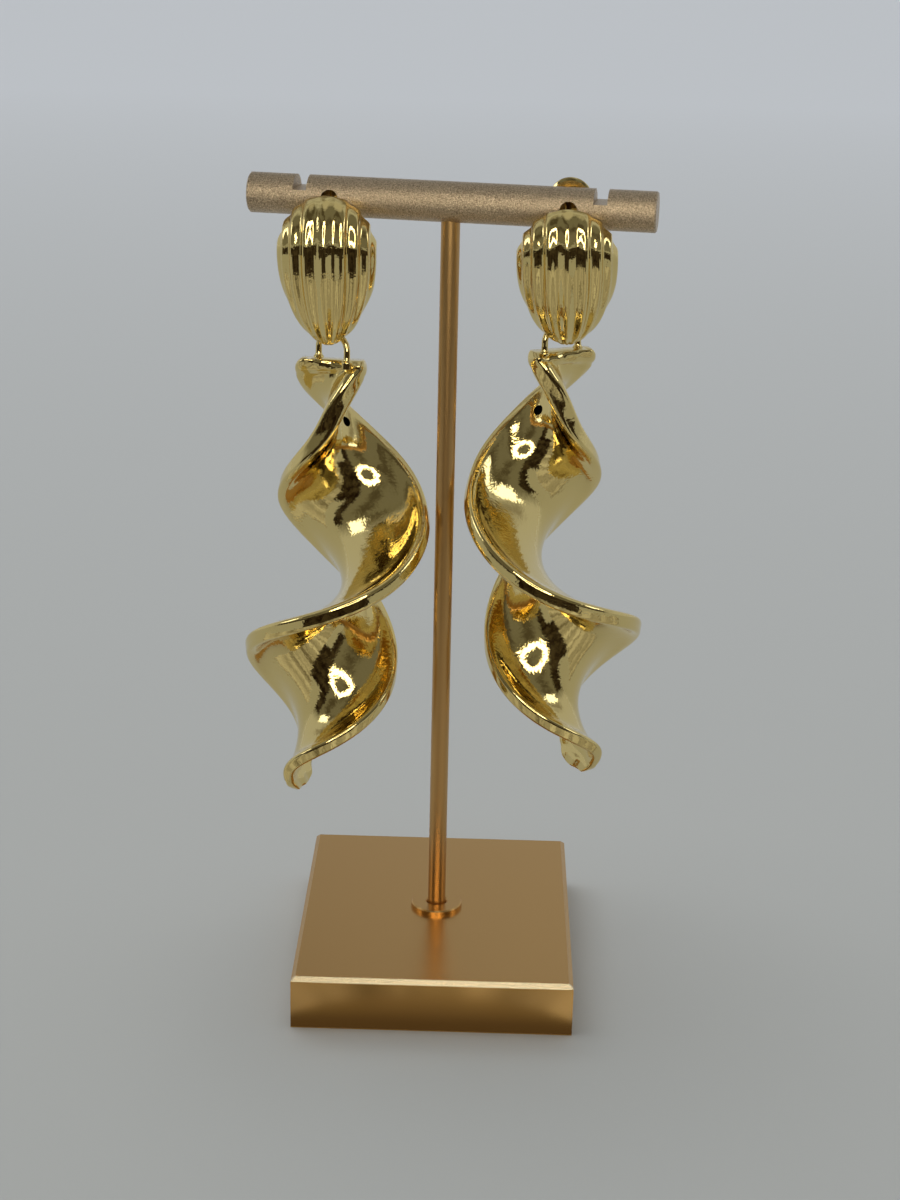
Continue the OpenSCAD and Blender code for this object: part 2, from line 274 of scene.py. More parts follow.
def ribbon():
    """Points and faces of the twisted ribbon, with its top edge's middle above the origin."""
    inner = END_RINGS[-1]
    body_length = TIP_DEPTH + TOP_CUT - 2 * inner
    depths = [x - TOP_CUT for x in END_RINGS]
    depths += [inner - TOP_CUT + i * body_length / BODY_STEPS for i in range(1, BODY_STEPS)]
    depths += [TIP_DEPTH - x for x in reversed(END_RINGS)]
    rings = [ring_points(d) for d in depths]
    n = len(rings[0])
    faces = []
    for r in range(len(rings) - 1):
        faces += band(r * n, (r + 1) * n, n)
    far = (len(rings) - 1) * n
    for i in range(n // 2 - 1):
        faces.append((i, n - 1 - i, n - 2 - i, i + 1))
        faces.append((far + i, far + i + 1, far + n - 2 - i, far + n - 1 - i))
    turn, reach_a, reach_b = section(-TOP_CUT)[:3]
    shift = np.array([0, 0, -BAIL_HEIGHT - TOP_CUT]) - along(turn) * (reach_a - reach_b) / 2
    return np.concatenate(rings) + shift, faces


# Bail of the drop, and the solder that climbs round each foot of it
BAIL_WIRE = 0.95
BAIL_WIDTH = 6.4
BAIL_HEIGHT = 3.6
BAIL_BEND = 2.1
BAIL_FOOT = 1
BAIL_STEPS = 24
BEND_STEPS = 16
SOLDER_WIDTH = 0.34
SOLDER_HEIGHT = 0.22


def bail(bail_turn):
    """Points and faces of the wire staple, with its crown at the origin."""
    leg = BAIL_WIDTH / 2
    foot = BAIL_HEIGHT + BAIL_FOOT
    path = [(-leg, 0, -foot + k * (foot - BAIL_BEND) / BAIL_STEPS) for k in range(BAIL_STEPS + 1)]
    for k in range(1, BEND_STEPS):
        angle = math.pi / 2 * k / BEND_STEPS
        path.append((-leg + BAIL_BEND * (1 - math.cos(angle)), 0, BAIL_BEND * (math.sin(angle) - 1)))
    path += [(-x, y, z) for x, y, z in reversed(path)]
    radii = []
    for x, y, z in path:
        above = max(0, z + BAIL_HEIGHT)
        radii.append(BAIL_WIRE / 2 + SOLDER_WIDTH * math.exp(-above / SOLDER_HEIGHT))
    points, faces = tube(path, radii)
    turn = turned(-bail_turn, "Z")
    return [turn @ p for p in points], faces


# Drain hole beside the drop's neck: its mouth, the way out of the metal, its size and the drill beyond it
DRAIN_MOUTH = Vector((2.2, 3.4, -13.8))
DRAIN_WAY = Vector((0.7, -0.5, 0.5))
DRAIN_RADIUS = 0.8
DRAIN_DEPTH = 0.9
DRILL_BEYOND = 1
# A face is inside it if its centre lies within this share of its radius, and no farther past the drill's ends
INSIDE_SHARE = 1.005
INSIDE_PAST = 0.01


def drained(piece, place):
    """Cuts the blind drain hole, and gives the faces inside it."""
    drill_length = DRAIN_DEPTH + DRILL_BEYOND
    mesh = bpy.data.meshes.new("drill")
    made = bmesh.new()
    bmesh.ops.create_cone(made, cap_ends=True, segments=48, radius1=DRAIN_RADIUS, radius2=DRAIN_RADIUS,
                          depth=drill_length)
    way = DRAIN_WAY.to_track_quat("Z", "Y").to_matrix().to_4x4()
    put = place @ Matrix.Translation(DRAIN_MOUTH) @ way @ moved(0, 0, (DRILL_BEYOND - DRAIN_DEPTH) / 2)
    bmesh.ops.transform(made, matrix=Matrix.Scale(MM, 4) @ put, verts=made.verts)
    bmesh.ops.recalc_face_normals(made, faces=made.faces)
    made.to_mesh(mesh)
    made.free()
    drill = bpy.data.objects.new("drill", mesh)
    bpy.context.scene.collection.objects.link(drill)
    cut = piece.modifiers.new("drain_hole", "BOOLEAN")
    cut.operation = "DIFFERENCE"
    cut.object = drill
    cut.solver = "EXACT"
    cut.use_self = False
    bpy.context.view_layer.update()
    ready = bpy.data.meshes.new_from_object(piece.evaluated_get(bpy.context.evaluated_depsgraph_get()))
    piece.modifiers.remove(cut)
    piece.data = ready
    bpy.data.objects.remove(drill)
    back = put.inverted()
    inside = []
    for face in ready.polygons:
        spot = back @ (face.center / MM)
        across = math.hypot(spot.x, spot.y)
        if across < DRAIN_RADIUS * INSIDE_SHARE and abs(spot.z) < drill_length / 2 + INSIDE_PAST:
            inside.append(face.index)
    return inside


def make_drop(side):
    """Twisted drop with its bail; the faces inside its drain hole take the second material slot."""
    how = DROPS[side]
    mirror = Matrix.Scale(-1, 4, (1, 0, 0)) if side == "right" else Matrix.Identity(4)
    place = (on_bar() @ moved(*how["crown"]) @ turned(BAR_TURN, "Z") @ turned(how["sway"], "Y")
             @ turned(-how["lean"], "X") @ mirror @ turned(-how["turn"], "Z"))
    points, faces = ribbon()
    piece = mesh_piece(side + "_twisted_drop", points, faces, place)
    inside = drained(piece, place)
    hook = mesh_piece(side + "_bail", *bail(how["bail_turn"]), place)
    made = bmesh.new()
    made.from_mesh(piece.data)
    made.faces.ensure_lookup_table()
    for index in inside:
        made.faces[index].material_index = 1
    made.from_mesh(hook.data)
    piece.data.materials.append(None)
    piece.data.materials.append(None)
    made.to_mesh(piece.data)
    made.free()
    bpy.data.objects.remove(hook)
    piece.data.shade_smooth()
    piece.data.set_sharp_from_angle(angle=math.radians(SHARP_ANGLE))
    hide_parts(side + "_drop")
    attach(piece, side + "_earring_drop")
    return piece


# Stud: the dome's size and outline
STUD_LENGTH = 23.1
STUD_WIDTH = 14.9
STUD_BULGE = 5.8
STUD_RISE = 1.4
STUD_WIDEST = 0.37
STUD_TAPER = 1.27
# Depth of the grooves beside the middle rib, and the share of it that is left at the dome's sides
RIB_DEPTH = 0.72
SIDE_DEPTH = 0.45
# The grooves grow shallow toward the top and the tip a little slower than the dome narrows
DEPTH_POWER = 0.7
# Angle from the dome's middle to each groove, and ribs counted from the middle one to there
GROOVES = [0, 12, 31, 49, 67, 90]
RIBS_TO_THERE = [0, 0.5, 1.5, 2.5, 3.5, 4.5]
# Above the widest place the ribs run straight up, and below it they close in nearly as the dome does
STRAIGHT_ABOVE = 1
STRAIGHT_BELOW = 0.22
DOME_ROWS = 130
# Nine ribs, with 24 steps across each
DOME_COLUMNS = 9 * 24 + 1


def egg(t):
    """Width of the dome as a share of its greatest width, from the top, 0, to the tip, 1."""
    if t < STUD_WIDEST:
        return math.sqrt(max(0, 1 - ((STUD_WIDEST - t) / STUD_WIDEST) ** 2))
    return max(0, 1 - ((t - STUD_WIDEST) / (1 - STUD_WIDEST)) ** 2) ** (STUD_TAPER / 2)


def dome():
    """Points and faces of the ribbed dome, which has a flat back."""
    angles = np.radians(np.linspace(-90, 90, DOME_COLUMNS))
    points = []
    for i in range(1, DOME_ROWS):
        t = (1 - math.cos(math.pi * i / DOME_ROWS)) / 2
        w = egg(t)
        straight = STRAIGHT_ABOVE if t < STUD_WIDEST else STRAIGHT_BELOW
        turn = np.arcsin(np.sin(angles) * w ** straight)
        rib = np.interp(np.abs(np.degrees(turn)), GROOVES, RIBS_TO_THERE)
        # The ribs and the grooves between them are waves of one width
        deep = RIB_DEPTH * (SIDE_DEPTH + (1 - SIDE_DEPTH) * np.cos(turn) ** 2)
        r = w - deep * (1 - np.cos(2 * math.pi * rib)) * w ** DEPTH_POWER / STUD_WIDTH
        x = STUD_WIDTH / 2 * r * np.sin(angles)
        y = -STUD_BULGE * r * np.cos(angles)
        points += [(x[k], y[k], STUD_RISE - STUD_LENGTH * t) for k in range(DOME_COLUMNS)]
    top = len(points)
    points += [(0, 0, STUD_RISE), (0, 0, STUD_RISE - STUD_LENGTH)]
    faces = []
    n = DOME_COLUMNS
    for r in range(DOME_ROWS - 2):
        faces += band(r * n, (r + 1) * n, n)
    low = (DOME_ROWS - 2) * n
    for k in range(n):
        faces.append((top, (k + 1) % n, k))
        faces.append((top + 1, low + k, low + (k + 1) % n))
    return points, faces


# Eye behind the dome's tip: a wire ring soldered to the dome's back
EYE_WIRE = 0.8
EYE_RADIUS = 2.05
EYE_TURN = 12
EYE_BACK = 2.2
EYE_STEPS = 48
EYE_SIDES = 20


def eye(place, side):
    """Points and faces of the eye."""
    points = []
    faces = []
    for k in range(EYE_STEPS):
        angle = 2 * math.pi * k / EYE_STEPS
        out = Vector((math.cos(angle), math.sin(angle), 0))
        for s in range(EYE_SIDES):
            around = 2 * math.pi * s / EYE_SIDES
            ring = out * math.cos(around) + Vector((0, 0, 1)) * math.sin(around)
            points.append(out * EYE_RADIUS + ring * EYE_WIRE / 2)
        a = k * EYE_SIDES
        b = (k + 1) % EYE_STEPS * EYE_SIDES
        faces += [(a + s, b + s, b + (s + 1) % EYE_SIDES, a + (s + 1) % EYE_SIDES) for s in range(EYE_SIDES)]
    put = moved(place[0], EYE_BACK, place[1]) @ turned(90 + side * EYE_TURN, "Z") @ turned(90, "X")
    return [put @ p for p in points], faces


# Ear post: its radius, its start inside the dome and its straight run
POST_RADIUS = 0.4
POST_START = -1
POST_STEP = 0.5
POST_STEPS = 24
# Each ring of its rounded end: how far along the post it lies, and its radius
POST_NOSE = [(10.7, 0.38), (10.85, 0.33), (10.95, 0.25), (11, 0.12)]


def make_stud(side):
    """Dome, eye and ear post in one piece."""
    how = STUDS[side]
    hole = (on_bar() @ moved(how["side"] * HOLE_OFFSET + how["place"][0], 0, how["place"][1])
            @ turned(how["tilt"], "X") @ turned(how["turn"], "Z") @ moved(0, -STUD_SEAT, 0))
    lean = turned(DOME_TURN - how["turn"], "Z") @ turned(STUD_LEAN, "X")
    run = [(POST_START + k * POST_STEP, POST_RADIUS) for k in range(POST_STEPS)] + POST_NOSE
    dome_points, dome_faces = dome()
    eye_points, eye_faces = eye(how["eye"], how["side"])
    points, faces = joined([
        ([lean @ Vector(p) for p in dome_points], dome_faces),
        ([lean @ p for p in eye_points], eye_faces),
        tube([(0, y, 0) for y, radius in run], [radius for y, radius in run]),
    ])
    piece = mesh_piece(side + "_ribbed_dome", points, faces, hole)
    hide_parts(side + "_stud")
    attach(piece, "stand")
    return piece


# Tools for materials

def linear(colour):
    """A colour written as sRGB hex, in the linear values that sockets take."""
    parts = [int(colour[i:i + 2], 16) / 255 for i in (1, 3, 5)]
    return [c / 12.92 if c <= 0.04045 else ((c + 0.055) / 1.055) ** 2.4 for c in parts] + [1]


def add(tree, kind, inputs=None, **settings):
    """A node with its settings, and its inputs set to a value or linked to another node's output."""
    made = tree.nodes.new("ShaderNode" + kind)
    for name, value in settings.items():
        setattr(made, name, value)
    for name, value in (inputs or {}).items():
        if isinstance(value, bpy.types.NodeSocket):
            tree.links.new(value, made.inputs[name])
        else:
            made.inputs[name].default_value = value
    return made


# The mix node's sockets for its share, its two colours and the colour that it gives
SHARE = 0
FIRST = 6
SECOND = 7
MIXED = 2


def new_material(name):
    material = bpy.data.materials.new(name)
    material.use_nodes = True
    tree = material.node_tree
    tree.nodes.clear()
    return material, tree


def dress(target, *materials):
    """Fills the material slots of a piece in their order, and keeps which face uses which slot."""
    while len(target.data.materials) < len(materials):
        target.data.materials.append(None)
    for slot, material in enumerate(materials):
        target.data.materials[slot] = material


# Polished cast metal under pale gold plate: a near mirror, with the faint waves that hand polishing leaves
def polished_gold_plate():
    material, tree = new_material("polished_gold_plate")
    where = add(tree, "TexCoord").outputs["Object"]
    waves = add(tree, "TexNoise", {"Vector": where, "Scale": 1 / (1.3 * MM), "Detail": 2, "Roughness": 0.5})
    ripple = add(tree, "TexNoise", {"Vector": where, "Scale": 1 / (0.4 * MM), "Detail": 2, "Roughness": 0.5})
    haze = add(tree, "TexNoise", {"Vector": where, "Scale": 1 / (3 * MM), "Detail": 3, "Roughness": 0.6})
    rough = add(tree, "MapRange", {"Value": haze.outputs["Fac"], "From Min": 0.3, "From Max": 0.7,
                                   "To Min": 0.03, "To Max": 0.09})
    coarse = add(tree, "Bump", {"Height": waves.outputs["Fac"], "Strength": 0.35, "Distance": 0.09 * MM})
    fine = add(tree, "Bump", {"Height": ripple.outputs["Fac"], "Strength": 0.6, "Distance": 0.024 * MM,
                              "Normal": coarse.outputs["Normal"]})
    shader = add(tree, "BsdfPrincipled", {"Base Color": linear("#E7D08C"), "Metallic": 1,
                                          "Roughness": rough.outputs["Result"],
                                          "Normal": fine.outputs["Normal"]})
    add(tree, "OutputMaterial", {"Surface": shader.outputs["BSDF"]})
    return material


# Bead-blasted bar under champagne gold plate: fine pits scatter the light into a sparkling satin.
# The pits are drawn coarser than the real ones, so that they show.
# The bores for the ear posts lie within this radius of its axis, and nearer to its middle than the slots.
BORE_REACH = 2.86
BORES_WITHIN = 19.5


def bead_blasted_champagne_gold():
    material, tree = new_material("bead_blasted_champagne_gold")
    where = add(tree, "TexCoord").outputs["Object"]
    pits = add(tree, "TexNoise", {"Vector": where, "Scale": 1 / (0.2 * MM), "Detail": 3, "Roughness": 0.7})
    shade = add(tree, "ValToRGB", {"Fac": pits.outputs["Fac"]})
    for stop, (position, colour) in zip(shade.color_ramp.elements, ((0.3, "#84705A"), (0.7, "#EAD3B2"))):
        stop.position = position
        stop.color = linear(colour)
    bump = add(tree, "Bump", {"Height": pits.outputs["Fac"], "Strength": 1, "Distance": 0.11 * MM})
    # Painted shade: the walls of the bores take one darker colour in place of the pitted colours
    axis_frame = add(tree, "VectorRotate", {"Vector": where, "Center": (0, 0, BAR_HEIGHT * MM),
                                            "Angle": math.radians(BAR_TURN)}, rotation_type="Z_AXIS")
    apart = add(tree, "SeparateXYZ", {"Vector": axis_frame.outputs["Vector"]})
    height = add(tree, "Math", {0: apart.outputs["Z"], 1: BAR_HEIGHT * MM}, operation="SUBTRACT")
    radial = add(tree, "CombineXYZ", {"Y": apart.outputs["Y"], "Z": height.outputs["Value"]})
    reach = add(tree, "VectorMath", {0: radial.outputs["Vector"]}, operation="LENGTH")
    deep = add(tree, "Math", {0: reach.outputs["Value"], 1: BORE_REACH * MM}, operation="LESS_THAN")
    sideways = add(tree, "Math", {0: apart.outputs["X"]}, operation="ABSOLUTE")
    near = add(tree, "Math", {0: sideways.outputs["Value"], 1: BORES_WITHIN * MM}, operation="LESS_THAN")
    bore_painted_shade = add(tree, "Math", {0: deep.outputs["Value"], 1: near.outputs["Value"]}, operation="MULTIPLY")
    tone = add(tree, "Mix", {SHARE: bore_painted_shade.outputs["Value"], FIRST: shade.outputs["Color"],
                             SECOND: linear("#94795A")}, data_type="RGBA")
    shader = add(tree, "BsdfPrincipled", {"Base Color": tone.outputs[MIXED], "Metallic": 1,
                                          "Roughness": 0.3, "Normal": bump.outputs["Normal"]})
    add(tree, "OutputMaterial", {"Surface": shader.outputs["BSDF"]})
    return material


# Drawn post under gold plate: fine scratches along its length soften the reflection crossways.
# They are wider here than real ones, so that they show.
def brushed_gold_post():
    material, tree = new_material("brushed_gold_post")
    where = add(tree, "TexCoord").outputs["Object"]
    stretch = add(tree, "Mapping", {"Vector": where, "Scale": (1, 1, 0.02)})
    lines = add(tree, "TexNoise", {"Vector": stretch.outputs["Vector"], "Scale": 1 / (0.2 * MM),
                                   "Detail": 3, "Roughness": 0.6})
    bump = add(tree, "Bump", {"Height": lines.outputs["Fac"], "Strength": 0.15, "Distance": 0.02 * MM})
    shader = add(tree, "BsdfPrincipled", {"Base Color": linear("#C79E66"), "Metallic": 1,
                                          "Roughness": 0.36, "Normal": bump.outputs["Normal"]})
    add(tree, "OutputMaterial", {"Surface": shader.outputs["BSDF"]})
    return material


# Satin base and collar: fine etched grain under the plate, coarser here than the real one, so that it shows.
# The front bevel, which lies between these heights and ahead of this line, is painted paler as a painted
# highlight, where it catches the light.
BEVEL_LOW = 7.93
BEVEL_HIGH = 8.58
BEVEL_FRONT = -24.3


def satin_gold_base():
    material, tree = new_material("satin_gold_base")
    where = add(tree, "TexCoord").outputs["Object"]
    grain = add(tree, "TexNoise", {"Vector": where, "Scale": 1 / (0.2 * MM), "Detail": 3, "Roughness": 0.6})
    bump = add(tree, "Bump", {"Height": grain.outputs["Fac"], "Strength": 0.2, "Distance": 0.02 * MM})
    spot = add(tree, "SeparateXYZ", {"Vector": where})
    # Painted highlight: the front bevel takes a paler colour than the rest of the metal
    above = add(tree, "Math", {0: spot.outputs["Z"], 1: BEVEL_LOW * MM}, operation="GREATER_THAN")
    below = add(tree, "Math", {0: spot.outputs["Z"], 1: BEVEL_HIGH * MM}, operation="LESS_THAN")
    level = add(tree, "Math", {0: above.outputs["Value"], 1: below.outputs["Value"]}, operation="MULTIPLY")
    ahead = add(tree, "Math", {0: spot.outputs["Y"], 1: BEVEL_FRONT * MM}, operation="LESS_THAN")
    bevel_painted_highlight = add(tree, "Math", {0: level.outputs["Value"], 1: ahead.outputs["Value"]}, operation="MULTIPLY")
    tone = add(tree, "Mix", {SHARE: bevel_painted_highlight.outputs["Value"], FIRST: linear("#D2A768"),
                             SECOND: linear("#FFEBC4")}, data_type="RGBA")
    shader = add(tree, "BsdfPrincipled", {"Base Color": tone.outputs[MIXED], "Metallic": 1,
                                          "Roughness": 0.27, "Normal": bump.outputs["Normal"]})
    add(tree, "OutputMaterial", {"Surface": shader.outputs["BSDF"]})
    return material


# Painted shade inside the drain holes: dull metal, nearly black, that stands in for the shade deep in them
def drain_hole_painted_shade():
    material, tree = new_material("drain_hole_painted_shade")
    shader = add(tree, "BsdfPrincipled", {"Base Color": linear("#140E08"), "Metallic": 1,
                                          "Roughness": 0.6})
    add(tree, "OutputMaterial", {"Surface": shader.outputs["BSDF"]})
    return material


def glowing(name, colour, strength):
    material, tree = new_material(name)
    shine = add(tree, "Emission", {"Color": linear(colour), "Strength": strength})
    add(tree, "OutputMaterial", {"Surface": shine.outputs["Emission"]})
    return material


# Stage: the floor, the room, the camera and the light

def stage_piece(name, points, faces, material):
    """A flat-faced mesh object from points in metres, which isn't part of the object."""
    mesh = bpy.data.meshes.new(name)
    mesh.from_pydata(points, [], faces)
    piece = bpy.data.objects.new(name, mesh)
    bpy.context.scene.collection.objects.link(piece)
    dress(piece, material)
    return piece


def reflected_only(piece):
    """Hides a piece from all but the metal's reflections."""
    piece.visible_camera = False
    piece.visible_diffuse = False
    piece.visible_shadow = False
    return piece


FLOOR_REACH = 30


def pale_floor():
    """Matt floor with painted light: its colour is a little darker near the stand than far behind it."""
    material, tree = new_material("pale_floor")
    spot = add(tree, "SeparateXYZ", {"Vector": add(tree, "TexCoord").outputs["Object"]})
    far = add(tree, "MapRange", {"Value": spot.outputs["Y"], "From Min": -0.15, "From Max": 1.2,
                                 "To Min": 0, "To Max": 1})
    # Painted light: paler and bluer toward the far floor, darker near the stand
    tone = add(tree, "Mix", {SHARE: far.outputs["Result"], FIRST: linear("#B4B6B4"),
                             SECOND: linear("#D2D6DC")}, data_type="RGBA")
    shader = add(tree, "BsdfPrincipled", {"Base Color": tone.outputs[MIXED], "Roughness": 0.7,
                                          "Specular IOR Level": 0})
    add(tree, "OutputMaterial", {"Surface": shader.outputs["BSDF"]})
    corners = [(-FLOOR_REACH, -FLOOR_REACH, 0), (FLOOR_REACH, -FLOOR_REACH, 0),
               (FLOOR_REACH, FLOOR_REACH, 0), (-FLOOR_REACH, FLOOR_REACH, 0)]
    return stage_piece("floor", corners, [(0, 1, 2, 3)], material)


def light_room():
    """Pale walls behind and at the sides, dim in front, with a pale ceiling."""
    world = bpy.data.worlds.new("room")
    bpy.context.scene.world = world
    world.use_nodes = True
    tree = world.node_tree
    tree.nodes.clear()
    ray = add(tree, "TexCoord").outputs["Generated"]
    parts = add(tree, "SeparateXYZ", {"Vector": ray})
    level = add(tree, "VectorMath", {0: ray, 1: (1, 1, 0)}, operation="MULTIPLY")
    unit = add(tree, "VectorMath", {0: level.outputs["Vector"]}, operation="NORMALIZE")
    heading = add(tree, "SeparateXYZ", {"Vector": unit.outputs["Vector"]})
    front = add(tree, "MapRange", {"Value": heading.outputs["Y"], "From Min": 0.1, "From Max": -0.35,
                                   "To Min": 0, "To Max": 1}, interpolation_type="SMOOTHSTEP")
    ceiling = add(tree, "MapRange", {"Value": parts.outputs["Z"], "From Min": 0.9, "From Max": 0.985,
                                     "To Min": 0, "To Max": 1}, interpolation_type="SMOOTHSTEP")
    patches = add(tree, "TexNoise", {"Vector": ray, "Scale": 2.2, "Detail": 2, "Roughness": 0.6})
    dim = add(tree, "MapRange", {"Value": patches.outputs["Fac"], "From Min": 0.47, "From Max": 0.62,
                                 "To Min": 0, "To Max": 0.85})
    # The dim patches begin well above the floor, so a level view of the stand has an even background
    above = add(tree, "MapRange", {"Value": parts.outputs["Z"], "From Min": 0.27, "From Max": 0.45,
                                   "To Min": 0, "To Max": 1}, interpolation_type="SMOOTHSTEP")
    dark = add(tree, "Math", {0: dim.outputs["Result"], 1: above.outputs["Result"]}, operation="MULTIPLY")
    side_walls = add(tree, "Mix", {SHARE: dark.outputs["Value"], FIRST: linear("#B6BABD"),
                                   SECOND: linear("#6E6656")}, data_type="RGBA")
    front_wall = add(tree, "Mix", {SHARE: dark.outputs["Value"], FIRST: linear("#73736D"),
                                   SECOND: linear("#453F33")}, data_type="RGBA")
    walls = add(tree, "Mix", {SHARE: front.outputs["Result"], FIRST: side_walls.outputs[MIXED],
                              SECOND: front_wall.outputs[MIXED]}, data_type="RGBA")
    room = add(tree, "Mix", {SHARE: ceiling.outputs["Result"], FIRST: walls.outputs[MIXED],
                             SECOND: linear("#B4B5B2")}, data_type="RGBA")
    glow = add(tree, "Background", {"Color": room.outputs[MIXED], "Strength": 1})
    add(tree, "OutputWorld", {"Surface": glow.outputs["Background"]})


# The camera's place, lens and sensor in mm, and its turns in degrees, fitted to the stand's corners
CAMERA_PLACE = Vector((5.47, -308.37, 172.56)) * MM
YAW = -0.81
PITCH = -19.816
ROLL = 1.264
LENS = 63.5
SENSOR = 36


def camera_axes():
    yaw, pitch, roll = math.radians(YAW), math.radians(PITCH), math.radians(ROLL)
    forward = Vector((math.sin(yaw) * math.cos(pitch), math.cos(yaw) * math.cos(pitch), math.sin(pitch)))
    right = forward.cross(Vector((0, 0, 1))).normalized()
    up = right.cross(forward)
    return right * math.cos(roll) + up * math.sin(roll), up * math.cos(roll) - right * math.sin(roll), forward


def place_camera():
    right, up, forward = camera_axes()
    lens = bpy.data.cameras.new("camera")
    lens.lens = LENS
    lens.sensor_width = SENSOR
    lens.sensor_fit = "AUTO"
    lens.clip_start = 0.01
    camera = bpy.data.objects.new("camera", lens)
    view = Matrix((right, up, -forward)).transposed().to_4x4()
    camera.matrix_world = Matrix.Translation(CAMERA_PLACE) @ view
    bpy.context.scene.collection.objects.link(camera)
    bpy.context.scene.camera = camera


# Ring lamp round the camera: its two radii, and how far its middle lies above and behind the camera, in mm
LAMP_RADII = (73, 118)
LAMP_ABOVE = 50
LAMP_BEHIND = 10
LAMP_STEPS = 64


def ring_lamp():
    """Seen only in the metal."""
    right, up, forward = camera_axes()
    centre = CAMERA_PLACE + (up * LAMP_ABOVE - forward * LAMP_BEHIND) * MM
    points = []
    faces = []
    for k in range(LAMP_STEPS):
        angle = 2 * math.pi * k / LAMP_STEPS
        out = right * math.cos(angle) + up * math.sin(angle)
        points += [centre + out * radius * MM for radius in LAMP_RADII]
        a = 2 * k
        b = 2 * ((k + 1) % LAMP_STEPS)
        faces.append((a, a + 1, b + 1, b))
    lamp = stage_piece("ring_lamp", points, faces, glowing("lamp_glow", "#FFF9E8", 6))
    lamp.visible_camera = False
    lamp.visible_diffuse = False
    return lamp


def soft_daylight():
    """Wide light from above, which the metal doesn't mirror."""
    sky = bpy.data.lights.new("soft_daylight", "SUN")
    sky.energy = 1.6
    sky.angle = math.radians(70)
    daylight = bpy.data.objects.new("soft_daylight", sky)
    daylight.matrix_world = turned(-12, "Y") @ turned(-14, "X")
    daylight.visible_glossy = False
    bpy.context.scene.collection.objects.link(daylight)


def around_stand(angle, radius, height):
    """A point in metres, from an angle round the stand in degrees, and a radius and a height in mm."""
    turn = math.radians(angle)
    return Vector((radius * math.cos(turn), radius * math.sin(turn), height)) * MM


# Dark cloth round the front of the stand, which only the metal sees, in degrees and mm. It hangs like a wall,
# and only its middle reaches down to the floor and along it.
CLOTH_ANGLES = (-165, -15)
CLOTH_STEPS = 60
CLOTH_MIDDLE = range(15, 45)
CLOTH_RINGS = ((140, 0.6), (240, 0.6), (240, 50), (240, 102))
CLOTH_EDGE = 210
CLOTH_WAVER = 90


def dark_cloth():
    material, tree = new_material("folded_dark_cloth")
    where = add(tree, "TexCoord").outputs["Object"]
    creases = add(tree, "TexNoise", {"Vector": where, "Scale": 1 / (45 * MM), "Detail": 4, "Roughness": 0.6})
    shade = add(tree, "MapRange", {"Value": creases.outputs["Fac"], "From Min": 0.4, "From Max": 0.62,
                                   "To Min": 0, "To Max": 1})
    tone = add(tree, "Mix", {SHARE: shade.outputs["Result"], FIRST: linear("#1C130C"),
                             SECOND: linear("#453E33")}, data_type="RGBA")
    shine = add(tree, "Emission", {"Color": tone.outputs[MIXED], "Strength": 1})
    # Its near edge lies uneven on the floor
    from_stand = add(tree, "VectorMath", {0: where}, operation="LENGTH")
    waver = add(tree, "Math", {0: creases.outputs["Fac"], 1: CLOTH_WAVER * MM}, operation="MULTIPLY")
    reach = add(tree, "Math", {0: from_stand.outputs["Value"], 1: waver.outputs["Value"]}, operation="ADD")
    there = add(tree, "Math", {0: reach.outputs["Value"], 1: CLOTH_EDGE * MM}, operation="GREATER_THAN")
    clear = add(tree, "BsdfTransparent")
    surface = add(tree, "MixShader", {0: there.outputs["Value"], 1: clear.outputs["BSDF"],
                                      2: shine.outputs["Emission"]})
    add(tree, "OutputMaterial", {"Surface": surface.outputs["Shader"]})
    points = []
    faces = []
    first, end = CLOTH_ANGLES
    for k in range(CLOTH_STEPS + 1):
        angle = first + (end - first) * k / CLOTH_STEPS
        points += [around_stand(angle, radius, height) for radius, height in CLOTH_RINGS]
    for k in range(CLOTH_STEPS):
        a = 4 * k
        faces.append((a + 2, a + 3, a + 7, a + 6))
        if k in CLOTH_MIDDLE:
            faces += [(a, a + 1, a + 5, a + 4), (a + 1, a + 2, a + 6, a + 5)]
    return reflected_only(stage_piece("dark_cloth", points, faces, material))


# Floor before the stand as the metal sees it, in uneven streaks that run out from the post, in degrees and mm
STREAK_ANGLES = (-176, -4)
STREAK_STEPS = 48
STREAK_RADII = (36, 190)
STREAK_HEIGHT = 0.4


def streaked_floor():
    material, tree = new_material("streaked_floor")
    where = add(tree, "TexCoord").outputs["Object"]
    outward_way = add(tree, "VectorMath", {0: where}, operation="NORMALIZE")
    streaks = add(tree, "TexNoise", {"Vector": outward_way.outputs["Vector"], "Scale": 4.5, "Detail": 4,
                                     "Roughness": 0.65})
    shade = add(tree, "MapRange", {"Value": streaks.outputs["Fac"], "From Min": 0.36, "From Max": 0.64,
                                   "To Min": 0, "To Max": 1})
    tone = add(tree, "Mix", {SHARE: shade.outputs["Result"], FIRST: linear("#5E584B"),
                             SECOND: linear("#CFCFC8")}, data_type="RGBA")
    shine = add(tree, "Emission", {"Color": tone.outputs[MIXED], "Strength": 1})
    add(tree, "OutputMaterial", {"Surface": shine.outputs["Emission"]})
    points = []
    first, end = STREAK_ANGLES
    for k in range(STREAK_STEPS + 1):
        angle = first + (end - first) * k / STREAK_STEPS
        points += [around_stand(angle, radius, STREAK_HEIGHT) for radius in STREAK_RADII]
    faces = [(2 * k, 2 * k + 1, 2 * k + 3, 2 * k + 2) for k in range(STREAK_STEPS)]
    return reflected_only(stage_piece("streaked_floor", points, faces, material))


# Windows at both sides, in metres: their distance, their near and far edge, and their sill and head
WINDOW_AWAY = 0.4
WINDOW_NEAR = -0.13
WINDOW_FAR = 0
WINDOW_SILL = 0.2
WINDOW_HEAD = 0.34


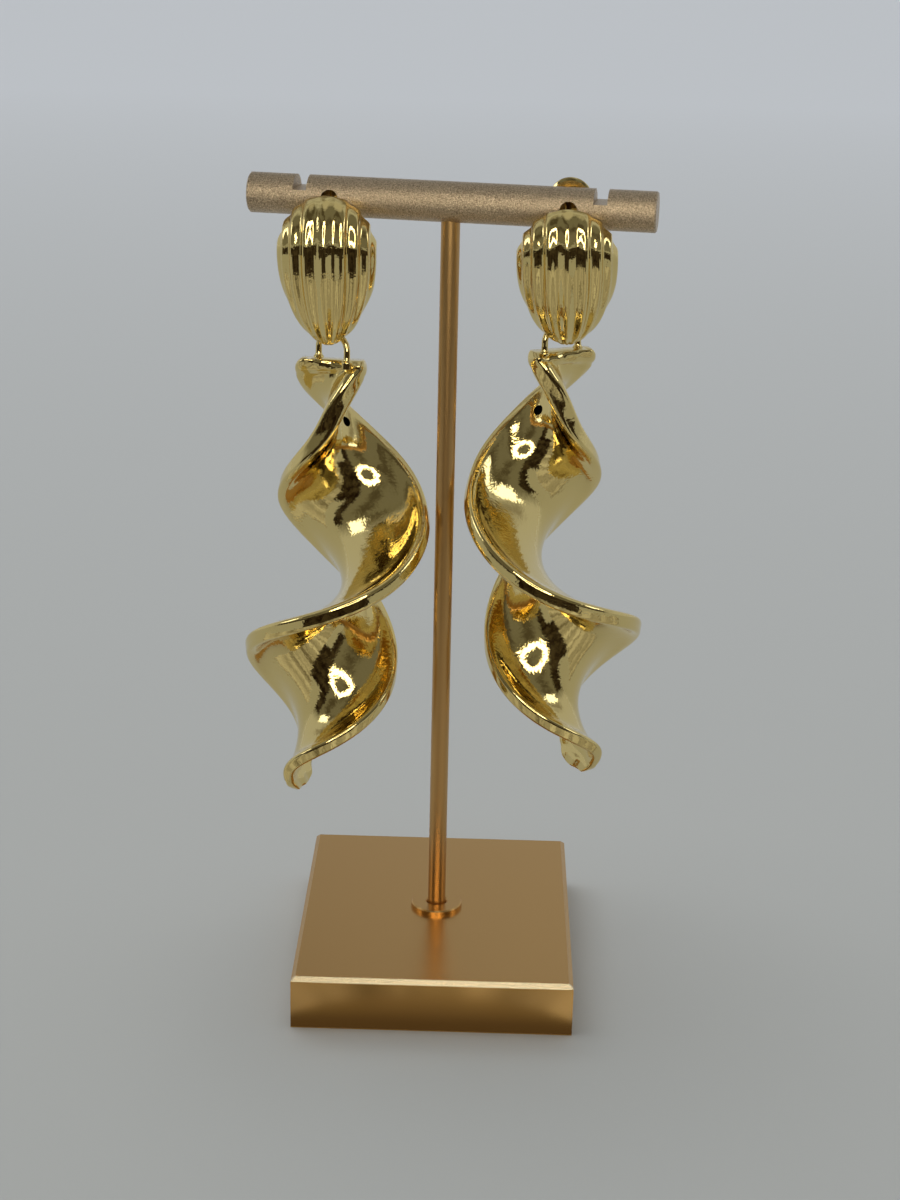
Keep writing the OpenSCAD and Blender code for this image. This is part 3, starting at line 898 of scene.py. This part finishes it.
def window(side, glow):
    x = WINDOW_AWAY if side == "right" else -WINDOW_AWAY
    corners = [(x, WINDOW_NEAR, WINDOW_SILL), (x, WINDOW_FAR, WINDOW_SILL), (x, WINDOW_FAR, WINDOW_HEAD),
               (x, WINDOW_NEAR, WINDOW_HEAD)]
    return reflected_only(stage_piece("window_" + side, corners, [(0, 1, 2, 3)], glow))


# Dark strip of floor before the base, in metres, which only the metal sees and which is paler farther out
SHADE_SIDE = 0.05
SHADE_FRONT = -0.052
SHADE_BACK = -0.0252
SHADE_HEIGHT = 0.0001


def dark_strip():
    material, tree = new_material("shaded_floor")
    spot = add(tree, "SeparateXYZ", {"Vector": add(tree, "TexCoord").outputs["Object"]})
    away = add(tree, "MapRange", {"Value": spot.outputs["Y"], "From Min": -0.028, "From Max": -0.04,
                                  "To Min": 0, "To Max": 1})
    tone = add(tree, "Mix", {SHARE: away.outputs["Result"], FIRST: linear("#5A5040"),
                             SECOND: linear("#A39A80")}, data_type="RGBA")
    shine = add(tree, "Emission", {"Color": tone.outputs[MIXED], "Strength": 1})
    add(tree, "OutputMaterial", {"Surface": shine.outputs["Emission"]})
    corners = [(-SHADE_SIDE, SHADE_FRONT, SHADE_HEIGHT), (SHADE_SIDE, SHADE_FRONT, SHADE_HEIGHT),
               (SHADE_SIDE, SHADE_BACK, SHADE_HEIGHT), (-SHADE_SIDE, SHADE_BACK, SHADE_HEIGHT)]
    return reflected_only(stage_piece("dark_card", corners, [(0, 1, 2, 3)], material))


plated = polished_gold_plate()
# Painted shade for the insides of the drain holes
hole_shade = drain_hole_painted_shade()
satin = satin_gold_base()
for side in ("left", "right"):
    dress(make_drop(side), plated, hole_shade)
    dress(make_stud(side), plated)
    dress(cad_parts[side + "_clutch"], plated)
dress(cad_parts["stand_bar"], bead_blasted_champagne_gold())
dress(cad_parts["stand_post"], brushed_gold_post())
dress(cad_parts["stand_base"], satin)
dress(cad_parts["stand_collar"], satin)

floor = pale_floor()
light_room()
place_camera()
lamp = ring_lamp()
soft_daylight()
cloth = dark_cloth()
streaks = streaked_floor()
daylight = glowing("daylight", "#F4F7FA", 2.6)
windows = [window(side, daylight) for side in ("left", "right")]
strip = dark_strip()

bpy.context.scene.view_settings.view_transform = "Standard"
